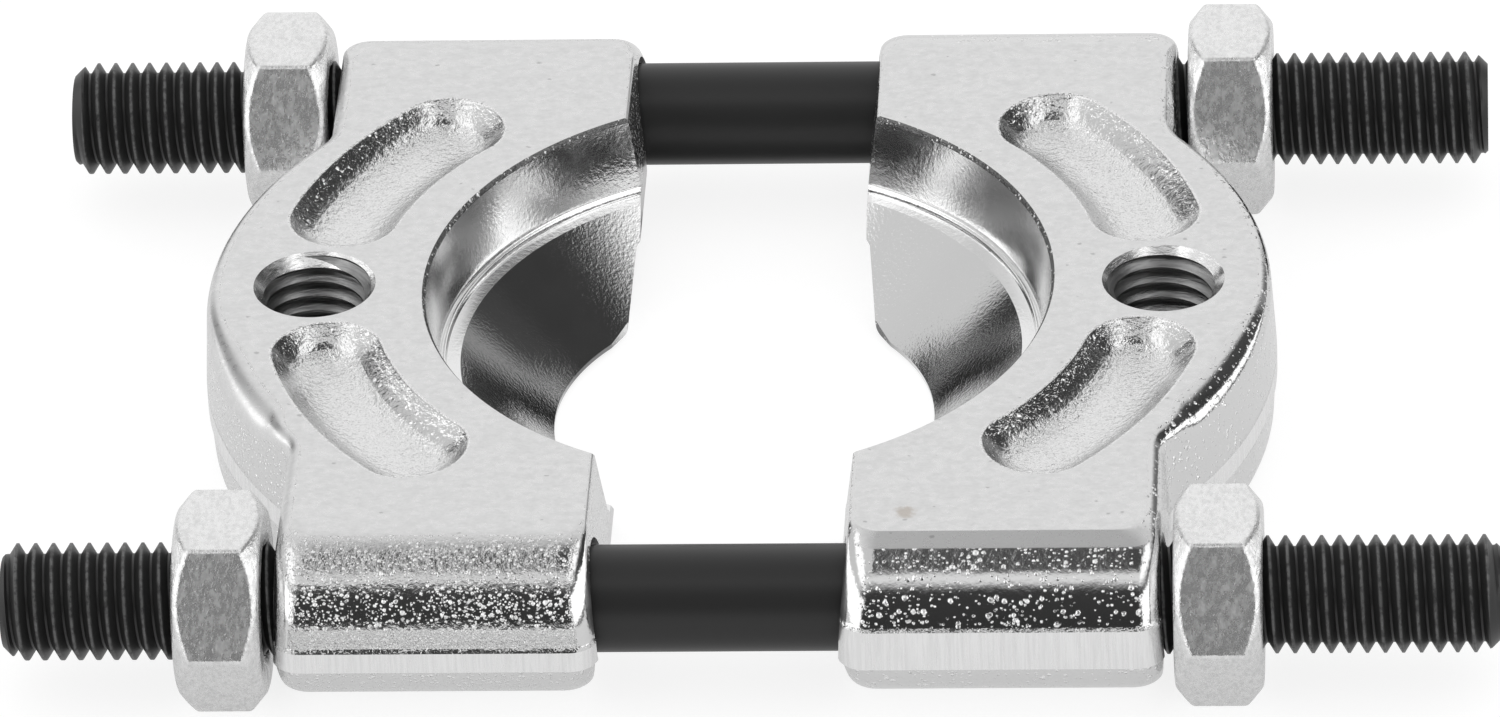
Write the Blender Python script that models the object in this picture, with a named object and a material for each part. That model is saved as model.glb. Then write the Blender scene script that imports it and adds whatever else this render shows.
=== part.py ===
"""Bearing separator: two forged half-jaws drawn together on two M10 studs by four hexagon nuts.

Lengths are in millimetres here and are turned into metres as the meshes are made.
X runs along the studs, the front is -Y and Z is up. The floor is z = 0, and the nuts
stand on it on one flat each, so the studs lie half a nut above it. The origin is
under the middle of the studs, and the jaws stand a little to the left of it.
Both jaws come from one forging, turned half round, as the real ones do.
"""

import math

import bmesh
import bpy
from mathutils import Matrix

MM = 0.001

# studs, M10 x 1.5 with a plain shank between the threaded ends
THREAD_DIAMETER = 9.85
THREAD_LENGTH = 38.0
SHANK_DIAMETER = 9.0
STUD_LENGTH = 125.0
STUD_INSIDE_BODY = 0.8
STUD_END_CHAMFER = 1.1
FRONT_STUD_SHIFT = 2.5
BACK_STUD_SHIFT = 1.7

# hexagon nuts, chamfered on both faces
NUT_ACROSS_FLATS = 16.25
NUT_THICKNESS = 7.4
NUT_BORE_GAP = 0.15
NUT_CHAMFER_ANGLE = 40.0
NUT_MOUTH_CHAMFER = 0.5
NUT_TO_JAW = 0.7

# the forging, measured from its mating face
JAW_THICKNESS = 14.6
JAW_GAP = 19.8
EAR_LENGTH = 27.3
EAR_CORNER_RADIUS = 2.4
BODY_RADIUS = 39.1
BODY_SET_BACK = 3.0
WAIST_FILLET = 4.0
FLASH_BAND = 2.0
TOP_EDGE_RADIUS = 1.3
BOTTOM_EDGE_RADIUS = 1.8
SIDE_DRAFT = 0.45
MATING_DRAFT = 1.0
MATING_EDGE_RADIUS = 0.35

# stud holes through the ears
STUD_HOLE_CLEARANCE = 0.575
STUD_SEAT_GAP = 0.12
STUD_HOLE_CHAMFER = 0.4

# the turned seat and the knife edge that slips behind a bearing
BORE_SET_BACK = 13.0
BORE_RADIUS = 29.7
BORE_WALL_TAPER = 0.7
BORE_EDGE_CHAMFER = 0.5
BORE_DEPTH = 6.5
LEDGE_WIDTH = 1.9
LEDGE_DROP = 0.7
KNIFE_RADIUS = 19.5
KNIFE_LAND = 0.4
CORNER_RELIEF_LONG = 6.4

# tapped hole for the puller's bolt
TAPPED_HOLE_FROM_MATING = 26.5
TAPPED_HOLE_DIAMETER = 8.5
TAPPED_HOLE_MOUTH = 10.5

# the two kidney-shaped pockets that the forging die leaves
POCKET_SET_BACK = 8.0
POCKET_START_RADIUS = 34.4
POCKET_END_RADIUS = 35.2
POCKET_START_ANGLE = 18.0
POCKET_END_ANGLE = 46.2
POCKET_START_WIDTH = 9.3
POCKET_END_WIDTH = 9.6
POCKET_START_SQUASH = 0.95
POCKET_END_SQUASH = 0.9
POCKET_WALL_ANGLE = 43.0
POCKET_WALL_DEPTH = 0.9
POCKET_FLOOR_WIDTH = 1.2

# what follows from the sizes above
THREAD_RADIUS = THREAD_DIAMETER / 2
STUD_HEIGHT = NUT_ACROSS_FLATS / 2
STUD_Y = BODY_RADIUS - STUD_INSIDE_BODY
STUD_HOLE_RADIUS = THREAD_RADIUS + STUD_HOLE_CLEARANCE
JAW_MIDDLE = STUD_HEIGHT - STUD_HOLE_CLEARANCE + STUD_SEAT_GAP
BOSS_RADIUS = JAW_THICKNESS / 2
MATING_X = JAW_GAP / 2
NUT_FACE_X = MATING_X + EAR_LENGTH + NUT_TO_JAW
NUT_MIDDLE_X = NUT_FACE_X + NUT_THICKNESS / 2
JAWS_X = -(FRONT_STUD_SHIFT + BACK_STUD_SHIFT) / 2


def material(name, colour, roughness, metallic):
    """A plain Principled material."""
    made = bpy.data.materials.new(name)
    made.use_nodes = True
    made.diffuse_color = (*colour, 1.0)
    shader = made.node_tree.nodes["Principled BSDF"]
    shader.inputs["Base Color"].default_value = (*colour, 1.0)
    shader.inputs["Roughness"].default_value = roughness
    shader.inputs["Metallic"].default_value = metallic
    return made


def mesh_object(name, rings, faces, origin=(0.0, 0.0, 0.0)):
    """An object from points in millimetres, with its normals turned outward."""
    mesh = bpy.data.meshes.new(name)
    points = [(x * MM, y * MM, z * MM) for x, y, z in rings]
    mesh.from_pydata(points, [], faces)
    bm = bmesh.new()
    bm.from_mesh(mesh)
    bmesh.ops.recalc_face_normals(bm, faces=bm.faces)
    bm.to_mesh(mesh)
    bm.free()
    made = bpy.data.objects.new(name, mesh)
    made.location = [value * MM for value in origin]
    bpy.context.scene.collection.objects.link(made)
    return made


def lofted(name, sections, origin=(0.0, 0.0, 0.0)):
    """A closed solid through sections of equal point count, capped at both ends."""
    count = len(sections[0])
    points = [point for section in sections for point in section]
    faces = []
    for level in range(len(sections) - 1):
        below = level * count
        above = below + count
        for k in range(count):
            after = (k + 1) % count
            faces.append((below + k, below + after, above + after, above + k))
    last = (len(sections) - 1) * count
    faces.append(tuple(reversed(range(count))))
    faces.append(tuple(range(last, last + count)))
    return mesh_object(name, points, faces, origin)


def turned(name, profile, segments, axis="Z", origin=(0.0, 0.0, 0.0), start=0.0):
    """A solid of revolution from (radius, height) pairs with no radius at 0."""
    sections = []
    for radius, height in profile:
        section = []
        for k in range(segments):
            angle = start + 2 * math.pi * k / segments
            across = radius * math.cos(angle)
            along = radius * math.sin(angle)
            if axis == "Z":
                section.append((across, along, height))
            else:
                section.append((height, across, along))
        sections.append(section)
    return lofted(name, sections, origin)


def apply_boolean(target, cutter, operation):
    """Cuts or joins one solid with another, and removes the second."""
    cutter.display_type = "WIRE"
    cutter.hide_render = True
    modifier = target.modifiers.new(cutter.name, "BOOLEAN")
    modifier.operation = operation
    modifier.solver = "EXACT"
    modifier.object = cutter
    bpy.context.view_layer.update()
    graph = bpy.context.evaluated_depsgraph_get()
    result = bpy.data.meshes.new_from_object(target.evaluated_get(graph))
    target.modifiers.remove(modifier)
    spent = target.data
    target.data = result
    result.name = target.name
    bpy.data.meshes.remove(spent)
    bpy.data.objects.remove(cutter, do_unlink=True)


def finish(target, surface, sharp_degrees=32.0):
    """One material, clean corners and smooth shading that stops at real edges."""
    mesh = target.data
    bm = bmesh.new()
    bm.from_mesh(mesh)
    bmesh.ops.remove_doubles(bm, verts=bm.verts, dist=0.000002)
    bmesh.ops.dissolve_degenerate(bm, edges=bm.edges, dist=0.000002)
    bmesh.ops.triangulate(bm, faces=bm.faces)
    bmesh.ops.recalc_face_normals(bm, faces=bm.faces)
    bm.to_mesh(mesh)
    bm.free()
    mesh.materials.clear()
    mesh.materials.append(surface)
    mesh.shade_smooth()
    mesh.set_sharp_from_angle(angle=math.radians(sharp_degrees))


def jaw_levels():
    """(height, reach of the ears in y) up the forging, from its underside to its top.

    The ears are round about their hole. The trimmed flash band stands upright on
    that round, from the parting line down.
    """
    levels = []
    for degrees in (-90, -75, -60, -45, -30, -22):
        angle = math.radians(degrees)
        height = BOSS_RADIUS + BOSS_RADIUS * math.sin(angle)
        levels.append((height, STUD_Y + BOSS_RADIUS * math.cos(angle)))
    levels.append((BOSS_RADIUS - FLASH_BAND, STUD_Y + BOSS_RADIUS))
    for step in range(10):
        angle = math.radians(10 * step)
        height = BOSS_RADIUS + BOSS_RADIUS * math.sin(angle)
        levels.append((height, STUD_Y + BOSS_RADIUS * math.cos(angle)))
    return levels


def edge_inset(height, draft, top_radius, bottom_radius):
    """How far a side stands back from the flash band at this height."""
    middle = JAW_THICKNESS / 2
    away = abs(height - middle) / middle
    in_band = middle - FLASH_BAND - 0.001 < height < middle
    inset = 0.0 if in_band else draft * away
    near_top = height - (JAW_THICKNESS - top_radius)
    if near_top > 0:
        inset += top_radius - math.sqrt(max(top_radius**2 - near_top**2, 0.0))
    near_bottom = bottom_radius - height
    if near_bottom > 0:
        inset += bottom_radius - math.sqrt(max(bottom_radius**2 - near_bottom**2, 0.0))
    return inset


def arc(centre_x, centre_y, radius, first, last, steps):
    """Points of an arc from one angle in degrees to another."""
    points = []
    for step in range(steps + 1):
        angle = math.radians(first + (last - first) * step / steps)
        points.append((centre_x + radius * math.cos(angle), centre_y + radius * math.sin(angle)))
    return points


def jaw_outline(height, reach):
    """The forging's outline at one height, anticlockwise from its inner front corner."""
    mating = edge_inset(height, MATING_DRAFT, MATING_EDGE_RADIUS, MATING_EDGE_RADIUS)
    side = edge_inset(height, SIDE_DRAFT, TOP_EDGE_RADIUS, BOTTOM_EDGE_RADIUS)
    near = MATING_X + mating
    far = MATING_X + EAR_LENGTH - side
    radius = BODY_RADIUS - side
    middle = MATING_X - BODY_SET_BACK
    round_by = EAR_CORNER_RADIUS
    waist = WAIST_FILLET + side
    waist_x = far + waist
    waist_y = math.sqrt((radius + waist) ** 2 - (waist_x - middle) ** 2)
    lean = math.degrees(math.atan2(waist_y, waist_x - middle))
    outline = arc(near + round_by, -reach + round_by, round_by, 180, 270, 4)
    outline += arc(far - round_by, -reach + round_by, round_by, 270, 360, 4)
    outline += arc(waist_x, -waist_y, waist, 180, 180 - lean, 3)
    outline += arc(middle, 0.0, radius, -lean, lean, 30)[1:-1]
    outline += arc(waist_x, waist_y, waist, 180 + lean, 180, 3)
    outline += arc(far - round_by, reach - round_by, round_by, 0, 90, 4)
    outline += arc(near + round_by, reach - round_by, round_by, 90, 180, 4)
    return outline


def jaw_blank():
    """The forging before it is machined, with its underside at 0."""
    sections = []
    for height, reach in jaw_levels():
        sections.append([(x, y, height) for x, y in jaw_outline(height, reach)])
    return lofted("jaw", sections)


def seat_cutter():
    """The turned seat: chamfered mouth, wall, ledge, cone and knife edge."""
    top = JAW_THICKNESS
    ledge = top - BORE_DEPTH
    inner = BORE_RADIUS - BORE_WALL_TAPER - LEDGE_WIDTH
    mouth = BORE_RADIUS + BORE_EDGE_CHAMFER
    profile = [
        (KNIFE_RADIUS, -1.0),
        (KNIFE_RADIUS, KNIFE_LAND),
        (inner, ledge - LEDGE_DROP),
        (BORE_RADIUS - BORE_WALL_TAPER - 0.35, ledge),
        (BORE_RADIUS - BORE_WALL_TAPER, ledge + 0.35),
        (BORE_RADIUS, top - BORE_EDGE_CHAMFER),
        (mouth, top),
        (mouth, top + 1.0),
    ]
    centre = MATING_X - BORE_SET_BACK
    return turned("seat", profile, 128, origin=(centre, 0.0, 0.0), start=math.pi / 128)


def relief_cutter(side):
    """Takes the sharp corner off the knife edge beside the mating face."""
    knife_y = math.sqrt(KNIFE_RADIUS**2 - BORE_SET_BACK**2)
    inside = MATING_X - 1.5
    base = knife_y - CORNER_RELIEF_LONG / 2
    on_knife = MATING_X - BORE_SET_BACK + math.sqrt(KNIFE_RADIUS**2 - base**2)
    outline = [
        (inside, base),
        (on_knife, base),
        (MATING_X, base + CORNER_RELIEF_LONG),
        (inside, base + CORNER_RELIEF_LONG),
    ]
    low = [(x, y * side, -1.0) for x, y in outline]
    high = [(x, y * side, JAW_THICKNESS / 3) for x, y in outline]
    return lofted("relief", [low, high])


def stud_hole_cutter(side):
    """The hole through one ear, with a small chamfer at each mouth."""
    near = MATING_X - 1.0
    far = MATING_X + EAR_LENGTH + 1.0
    wide = STUD_HOLE_RADIUS + STUD_HOLE_CHAMFER + 1.0
    profile = [
        (wide, near),
        (STUD_HOLE_RADIUS, near + STUD_HOLE_CHAMFER + 1.0),
        (STUD_HOLE_RADIUS, far - STUD_HOLE_CHAMFER - 1.0),
        (wide, far),
    ]
    place = (0.0, side * STUD_Y, JAW_THICKNESS / 2)
    return turned("stud_hole", profile, 40, "X", place, math.pi / 40)


def tapped_hole_cutter():
    """The tapped hole at its core diameter, countersunk from both faces."""
    core = TAPPED_HOLE_DIAMETER / 2
    mouth = TAPPED_HOLE_MOUTH / 2
    sink = mouth - core
    profile = [
        (mouth + 1.0, -1.0),
        (core, sink),
        (core, JAW_THICKNESS - sink),
        (mouth + 1.0, JAW_THICKNESS + 1.0),
    ]
    place = (MATING_X + TAPPED_HOLE_FROM_MATING, 0.0, 0.0)
    return turned("tapped_hole", profile, 36, origin=place)


def pocket_cap(along, radius, width, squash, inset, turn):
    """The rounded end of a pocket, at this angle and radius along its arc."""
    centre_x = MATING_X - POCKET_SET_BACK + radius * math.cos(along)
    centre_y = radius * math.sin(along)
    cap = []
    for step in range(1, 8):
        around = math.pi * step / 8
        outward = (width / 2 - inset) * math.cos(around) * turn
        onward = (width / 2 * squash - inset) * math.sin(around) * turn
        x = centre_x + outward * math.cos(along) - onward * math.sin(along)
        y = centre_y + outward * math.sin(along) + onward * math.cos(along)
        cap.append((x, y))
    return cap


def pocket_outline(inset):
    """A slot along an arc, shrunk all round by inset."""
    centre = MATING_X - POCKET_SET_BACK
    first = math.radians(POCKET_START_ANGLE)
    last = math.radians(POCKET_END_ANGLE)
    outer = []
    inner = []
    for step in range(11):
        share = step / 10
        angle = first + (last - first) * share
        width = POCKET_START_WIDTH + (POCKET_END_WIDTH - POCKET_START_WIDTH) * share
        half = width / 2 - inset
        along = POCKET_START_RADIUS + (POCKET_END_RADIUS - POCKET_START_RADIUS) * share
        for points, radius in ((outer, along + half), (inner, along - half)):
            points.append((centre + radius * math.cos(angle), radius * math.sin(angle)))
    end = (last, POCKET_END_RADIUS, POCKET_END_WIDTH, POCKET_END_SQUASH)
    start = (first, POCKET_START_RADIUS, POCKET_START_WIDTH, POCKET_START_SQUASH)
    outline = outer + pocket_cap(*end, inset, 1)
    outline += list(reversed(inner))
    outline += pocket_cap(*start, inset, -1)
    return outline


def pocket_cutter(side):
    """One kidney pocket: a leaning wall all round that sweeps into a narrow floor."""
    lean = math.radians(POCKET_WALL_ANGLE)
    foot = POCKET_WALL_DEPTH / math.tan(lean)
    levels = [(-1.0, -1.0 / math.tan(lean)), (POCKET_WALL_DEPTH, foot)]
    reach = (min(POCKET_START_WIDTH, POCKET_END_WIDTH) - POCKET_FLOOR_WIDTH) / 2 - foot
    sweep = reach / math.sin(lean)
    for share in (0.68, 0.36, 0.06):
        angle = lean * share
        depth = POCKET_WALL_DEPTH + sweep * (math.cos(angle) - math.cos(lean))
        levels.append((depth, foot + sweep * (math.sin(lean) - math.sin(angle))))
    sections = []
    for depth, inset in levels:
        sections.append([(x, y * side, JAW_THICKNESS - depth) for x, y in pocket_outline(inset)])
    return lofted("pocket", sections)


def machined_jaw():
    """The right-hand jaw, complete, with its underside at 0."""
    jaw = jaw_blank()
    apply_boolean(jaw, seat_cutter(), "DIFFERENCE")
    for side in (-1, 1):
        apply_boolean(jaw, relief_cutter(side), "DIFFERENCE")
        apply_boolean(jaw, stud_hole_cutter(side), "DIFFERENCE")
        apply_boolean(jaw, pocket_cutter(side), "DIFFERENCE")
    apply_boolean(jaw, tapped_hole_cutter(), "DIFFERENCE")
    return jaw


def place_jaws(surface):
    """Both jaws from one forging: the left one is the right one turned half round."""
    pattern = machined_jaw()
    finish(pattern, surface)
    middle_x = MATING_X + EAR_LENGTH / 2
    for name, side in (("jaw_right", 1), ("jaw_left", -1)):
        mesh = pattern.data.copy()
        mesh.name = name
        mesh.transform(Matrix.Translation((-middle_x * MM, 0.0, -BOSS_RADIUS * MM)))
        if side < 0:
            mesh.transform(Matrix.Rotation(math.pi, 4, "Z"))
        jaw = bpy.data.objects.new(name, mesh)
        jaw.location = ((JAWS_X + side * middle_x) * MM, 0.0, JAW_MIDDLE * MM)
        bpy.context.scene.collection.objects.link(jaw)
    spent = pattern.data
    bpy.data.objects.remove(pattern, do_unlink=True)
    bpy.data.meshes.remove(spent)


def place_stud(name, y, shift, surface):
    """A stud: threaded ends at the thread's outside, and a shank rolled thinner."""
    half = STUD_LENGTH / 2
    shank = SHANK_DIAMETER / 2
    step = THREAD_RADIUS - shank
    small_end = THREAD_RADIUS - STUD_END_CHAMFER
    inner_end = half - THREAD_LENGTH
    profile = [
        (small_end, -half),
        (THREAD_RADIUS, -half + STUD_END_CHAMFER),
        (THREAD_RADIUS, -inner_end - step),
        (shank, -inner_end + step),
        (shank, inner_end - step),
        (THREAD_RADIUS, inner_end + step),
        (THREAD_RADIUS, half - STUD_END_CHAMFER),
        (small_end, half),
    ]
    place = (JAWS_X + shift, y, STUD_HEIGHT)
    stud = turned(name, profile, 40, "X", place, math.pi / 40)
    finish(stud, surface)


def nut_blank():
    """A hexagon nut about X, on a flat: the prism trimmed by two cones, then bored."""
    half = NUT_THICKNESS / 2
    corner_radius = NUT_ACROSS_FLATS / 2 / math.cos(math.pi / 6)
    hexagon = []
    for k in range(6):
        angle = math.radians(60 * k)
        hexagon.append((corner_radius * math.cos(angle), corner_radius * math.sin(angle)))
    ends = [[(x, y, z) for y, z in hexagon] for x in (-half, half)]
    nut = lofted("nut", ends)
    face = NUT_ACROSS_FLATS / 2 * 0.94
    outside = corner_radius + 1.0
    drop = (outside - face) * math.tan(math.radians(NUT_CHAMFER_ANGLE))
    cones = [(face, -half), (outside, -half + drop), (outside, half - drop), (face, half)]
    apply_boolean(nut, turned("cones", cones, 48, "X", start=math.pi / 48), "INTERSECT")
    bore = THREAD_RADIUS + NUT_BORE_GAP
    mouth = bore + NUT_MOUTH_CHAMFER + 1.0
    sink = NUT_MOUTH_CHAMFER
    hole = [(mouth, -half - 1.0), (bore, -half + sink), (bore, half - sink), (mouth, half + 1.0)]
    apply_boolean(nut, turned("nut_bore", hole, 32, "X", start=math.pi / 32), "DIFFERENCE")
    return nut


def place_nuts(surface):
    """Four nuts from one pattern, each about its own stud's axis."""
    pattern = nut_blank()
    finish(pattern, surface)
    for end, x_side in (("left", -1), ("right", 1)):
        for row, y_side in (("front", -1), ("back", 1)):
            name = f"nut_{row}_{end}"
            mesh = pattern.data.copy()
            mesh.name = name
            nut = bpy.data.objects.new(name, mesh)
            place = (JAWS_X + x_side * NUT_MIDDLE_X, y_side * STUD_Y, STUD_HEIGHT)
            nut.location = [value * MM for value in place]
            bpy.context.scene.collection.objects.link(nut)
    spent = pattern.data
    bpy.data.objects.remove(pattern, do_unlink=True)
    bpy.data.meshes.remove(spent)


def build():
    """Clears the scene and makes the eight pieces."""
    for spent in list(bpy.data.objects):
        bpy.data.objects.remove(spent, do_unlink=True)
    forging = material("plated_forging", (0.72, 0.72, 0.71), 0.32, 1.0)
    black_oxide = material("black_oxide_steel", (0.035, 0.035, 0.037), 0.42, 0.6)
    zinc = material("zinc_plated_steel", (0.62, 0.63, 0.64), 0.34, 1.0)
    place_jaws(forging)
    place_stud("stud_front", -STUD_Y, FRONT_STUD_SHIFT, black_oxide)
    place_stud("stud_back", STUD_Y, BACK_STUD_SHIFT, black_oxide)
    place_nuts(zinc)


build()
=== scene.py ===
# %% [markdown]
# # A bearing separator in the studio
#
# A bearing separator is two half-jaws that are drawn together behind a bearing,
# so that a puller can lift it off its shaft. Two M10 studs cross both jaws, and
# four nuts close them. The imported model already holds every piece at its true
# size. This lesson gives the pieces their finish: cut threads, cast skin, turned
# seats, ground faces and black oxide.
#
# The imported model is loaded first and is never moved. Everything below is in
# metres, with X along the studs, the camera on the side of -Y and Z up.

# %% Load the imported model
from math import acos, atan2, cos, degrees, pi, radians, sin, sqrt, tan

import bmesh
import bpy
from mathutils import Matrix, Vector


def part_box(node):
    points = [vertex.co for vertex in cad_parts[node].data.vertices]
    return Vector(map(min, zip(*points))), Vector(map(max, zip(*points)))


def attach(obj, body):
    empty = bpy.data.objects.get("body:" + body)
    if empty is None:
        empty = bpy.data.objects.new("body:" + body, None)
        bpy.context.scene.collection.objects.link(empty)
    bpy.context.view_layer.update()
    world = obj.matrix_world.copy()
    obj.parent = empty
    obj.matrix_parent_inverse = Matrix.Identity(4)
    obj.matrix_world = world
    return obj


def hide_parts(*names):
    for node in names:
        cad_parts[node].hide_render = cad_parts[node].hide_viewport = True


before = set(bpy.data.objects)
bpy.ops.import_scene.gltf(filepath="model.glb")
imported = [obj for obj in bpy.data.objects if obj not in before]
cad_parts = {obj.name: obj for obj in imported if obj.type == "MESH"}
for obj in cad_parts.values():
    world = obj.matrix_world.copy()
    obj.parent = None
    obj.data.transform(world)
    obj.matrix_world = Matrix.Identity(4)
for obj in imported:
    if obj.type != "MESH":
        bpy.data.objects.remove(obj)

MM = 0.001
scene = bpy.context.scene


def show(name, data):
    """An object at the origin for a finished mesh or a camera."""
    made = bpy.data.objects.new(name, data)
    scene.collection.objects.link(made)
    return made


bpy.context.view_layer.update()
print("nodes:", sorted(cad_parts))

# %% [markdown]
# ## The camera
#
# The photograph was taken from in front and above through a long lens, so the
# far stud looks nearly as large as the near one. The place, the lens and the
# small roll below were fitted to the edges of the jaws and the ends of the studs.

# %% Camera
CAMERA_PLACE = (0.062133, -0.911122, 0.596578)
CAMERA_RIGHT = (0.99826679, 0.04519493, -0.03769388)
CAMERA_UP = (0.00708405, 0.54356105, 0.83933974)
CAMERA_LENS = 303.56


def place_camera():
    """The camera, turned by the three axes of the fitted view."""
    lens = bpy.data.cameras.new("camera")
    lens.lens = CAMERA_LENS
    lens.sensor_width = 36.0
    lens.clip_start = 0.01
    lens.clip_end = 50.0
    camera = show("camera", lens)
    back = Matrix((CAMERA_RIGHT, CAMERA_UP, (0, 0, 0))).to_3x3()
    back[2] = back[0].cross(back[1])
    camera.matrix_world = Matrix.Translation(CAMERA_PLACE) @ back.transposed().to_4x4()
    scene.camera = camera
    return camera


print("lens:", place_camera().data.lens, "mm")

# %% [markdown]
# ## The studio
#
# Bright metal shows its room more than its own colour. A plain white room would
# make the plating flat and chalky, so product photographers leave part of the
# room dark. This room was worked out backwards: a point of the metal mirrors one
# direction, so its tone in the photograph says what stood there.
#
# - From back to front the room is pale, then dark from overhead onward, with one
#   light strip that the rolled edges show as a bright line.
# - On both sides stand pale and dark panels, which the walls of the seats show.
# - A tall bright strip stands behind the cones on each side.
# - On the table between the jaws lie light and dark strips. Only the turned seats
#   mirror them, and they make their sharp light patches.
#
# The pattern is painted on the world by direction, which costs no noise. The
# camera itself sees plain white, and matt surfaces get one even light. Lamps and
# cards would do the same, but would also throw shadows that the photograph lacks.

# %% Terms that build Math nodes
WHITE = (1.0, 1.0, 1.0, 1.0)


class Term:
    """A node's output. Adding, scaling or dividing terms builds the Math nodes."""

    def __init__(self, socket):
        self.socket = socket
        self.tree = socket.id_data

    def __add__(self, other):
        return calc("ADD", self, other)

    def __sub__(self, other):
        return calc("SUBTRACT", self, other)

    def __rsub__(self, other):
        return calc("SUBTRACT", other, self)

    def __mul__(self, other):
        return calc("MULTIPLY", self, other)

    def __truediv__(self, other):
        return calc("DIVIDE", self, other)

    def __rtruediv__(self, other):
        return calc("DIVIDE", other, self)

    def __abs__(self):
        return calc("ABSOLUTE", self)


def fill(node, inputs):
    """Links or sets a node's inputs, by name or in order."""
    pairs = inputs.items() if isinstance(inputs, dict) else enumerate(inputs)
    for place, value in pairs:
        if isinstance(value, Term):
            value.tree.links.new(value.socket, node.inputs[place])
        else:
            node.inputs[place].default_value = value


def put(tree, kind, inputs=(), **settings):
    """A new node with these settings and inputs."""
    node = tree.nodes.new(kind)
    for name, value in settings.items():
        setattr(node, name, value)
    fill(node, inputs)
    return node


def term(node, label=0):
    """One output of a node, by name or by place."""
    return Term(node.outputs[label])


def terms(node):
    """All outputs of a node by name."""
    return {out.name: Term(out) for out in node.outputs}


def calc(operation, *values, clamp=False):
    """One Math node, which works in shader and geometry trees alike."""
    tree = next(value.tree for value in values if isinstance(value, Term))
    return term(put(tree, "ShaderNodeMath", values, operation=operation, use_clamp=clamp))


def larger(one, other):
    """The larger of two values."""
    return calc("MAXIMUM", one, other)


def band(value, low, high, start=0.0, end=1.0):
    """Maps a value smoothly from (low, high) to (start, end)."""
    inputs = (value, low, high, start, end)
    return term(put(value.tree, "ShaderNodeMapRange", inputs, interpolation_type="SMOOTHSTEP"))


def fade(value, low, high):
    """1 below the lower value and 0 above the higher one."""
    return band(value, low, high, 1.0, 0.0)


def ramp(value, stops):
    """A black-to-white ramp through (place, grey) stops."""
    node = put(value.tree, "ShaderNodeValToRGB", [value])
    points = node.color_ramp.elements
    while len(points) < len(stops):
        points.new(0.5)
    for point, (place, grey) in zip(points, stops):
        point.position = place
        point.color = (grey, grey, grey, 1.0)
    return term(node)


def split(vector):
    """The x, y and z of a vector."""
    return [Term(out) for out in put(vector.tree, "ShaderNodeSeparateXYZ", [vector]).outputs]


def coordinates(tree, kind="Object"):
    """The place of the shaded point on its piece, in metres."""
    return term(put(tree, "ShaderNodeTexCoord"), kind)


def metal(name, grey, roughness, metallic=1.0):
    """A Principled material in one neutral grey, with its tree and shader."""
    made = bpy.data.materials.new(name)
    made.use_nodes = True
    made.diffuse_color = (grey, grey, grey, 1.0)
    shader = made.node_tree.nodes["Principled BSDF"]
    fill(shader, {
        "Base Color": (grey, grey, grey, 1.0), "Roughness": roughness, "Metallic": metallic,
    })
    return made, made.node_tree, shader


print("helpers:", [made.__name__ for made in (calc, band, fade, ramp, split, metal)])

# %% The room's light by direction
ROOM_STOPS = [
    (-180, 0.04), (-168, 0.10), (-158, 0.55), (-120, 0.90), (-5, 0.90), (10, 0.94),
    (36, 0.92), (52, 0.80), (66, 0.48), (74, 0.07), (104, 0.06), (109, 0.80),
    (112, 0.92), (118, 0.90), (124, 0.30), (129, 0.04), (180, 0.03),
]
RIGHT_STOPS = [(0.45, 0.045), (0.53, 0.06), (0.68, 0.07), (0.75, 0.34), (0.79, 0.30), (0.85, 0.09)]
RIGHT_BEGINS = (0.34, 0.54)
RIGHT_TOP = (0.64, 0.80)
LEFT_STOPS = [(0.55, 0.70), (0.59, 0.05), (0.74, 0.05), (0.78, 0.85), (0.83, 0.85), (0.87, 0.06)]
LEFT_BEGINS = (-0.45, -0.66)
PALE_GAP = 0.72
GAP_FROM = (radians(58), radians(68))
GAP_TO = (radians(103), radians(110))
GAP_LEFT_OF = (-0.088, -0.078)
HIGH_LIGHT = 1.4
HIGH_BESIDE = (0.28, 0.38)
HIGH_FROM = (0.72, 0.86)
HIGH_TILT = 0.03
HIGH_LEFT_FROM = (0.72, 0.78)
HIGH_LEFT_BEGINS = (-0.66, -0.60)
SIDE_LIGHT = 1.6
SIDE_FOOT = (0.04, 0.10)
SIDE_TOP = (0.58, 0.66)
CONE_TILT = 0.46
BELOW_CONES = (0.525, 0.56)
BEHIND = (1.0, 1.3)
NEAR_TILT = -1.5
NEAR_TILT_FROM = 0.45
NEAR_EDGE = (-0.24, -0.12)
FAR_EDGE = (1.4, 1.9)
MATT_LIGHT = 0.95


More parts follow.
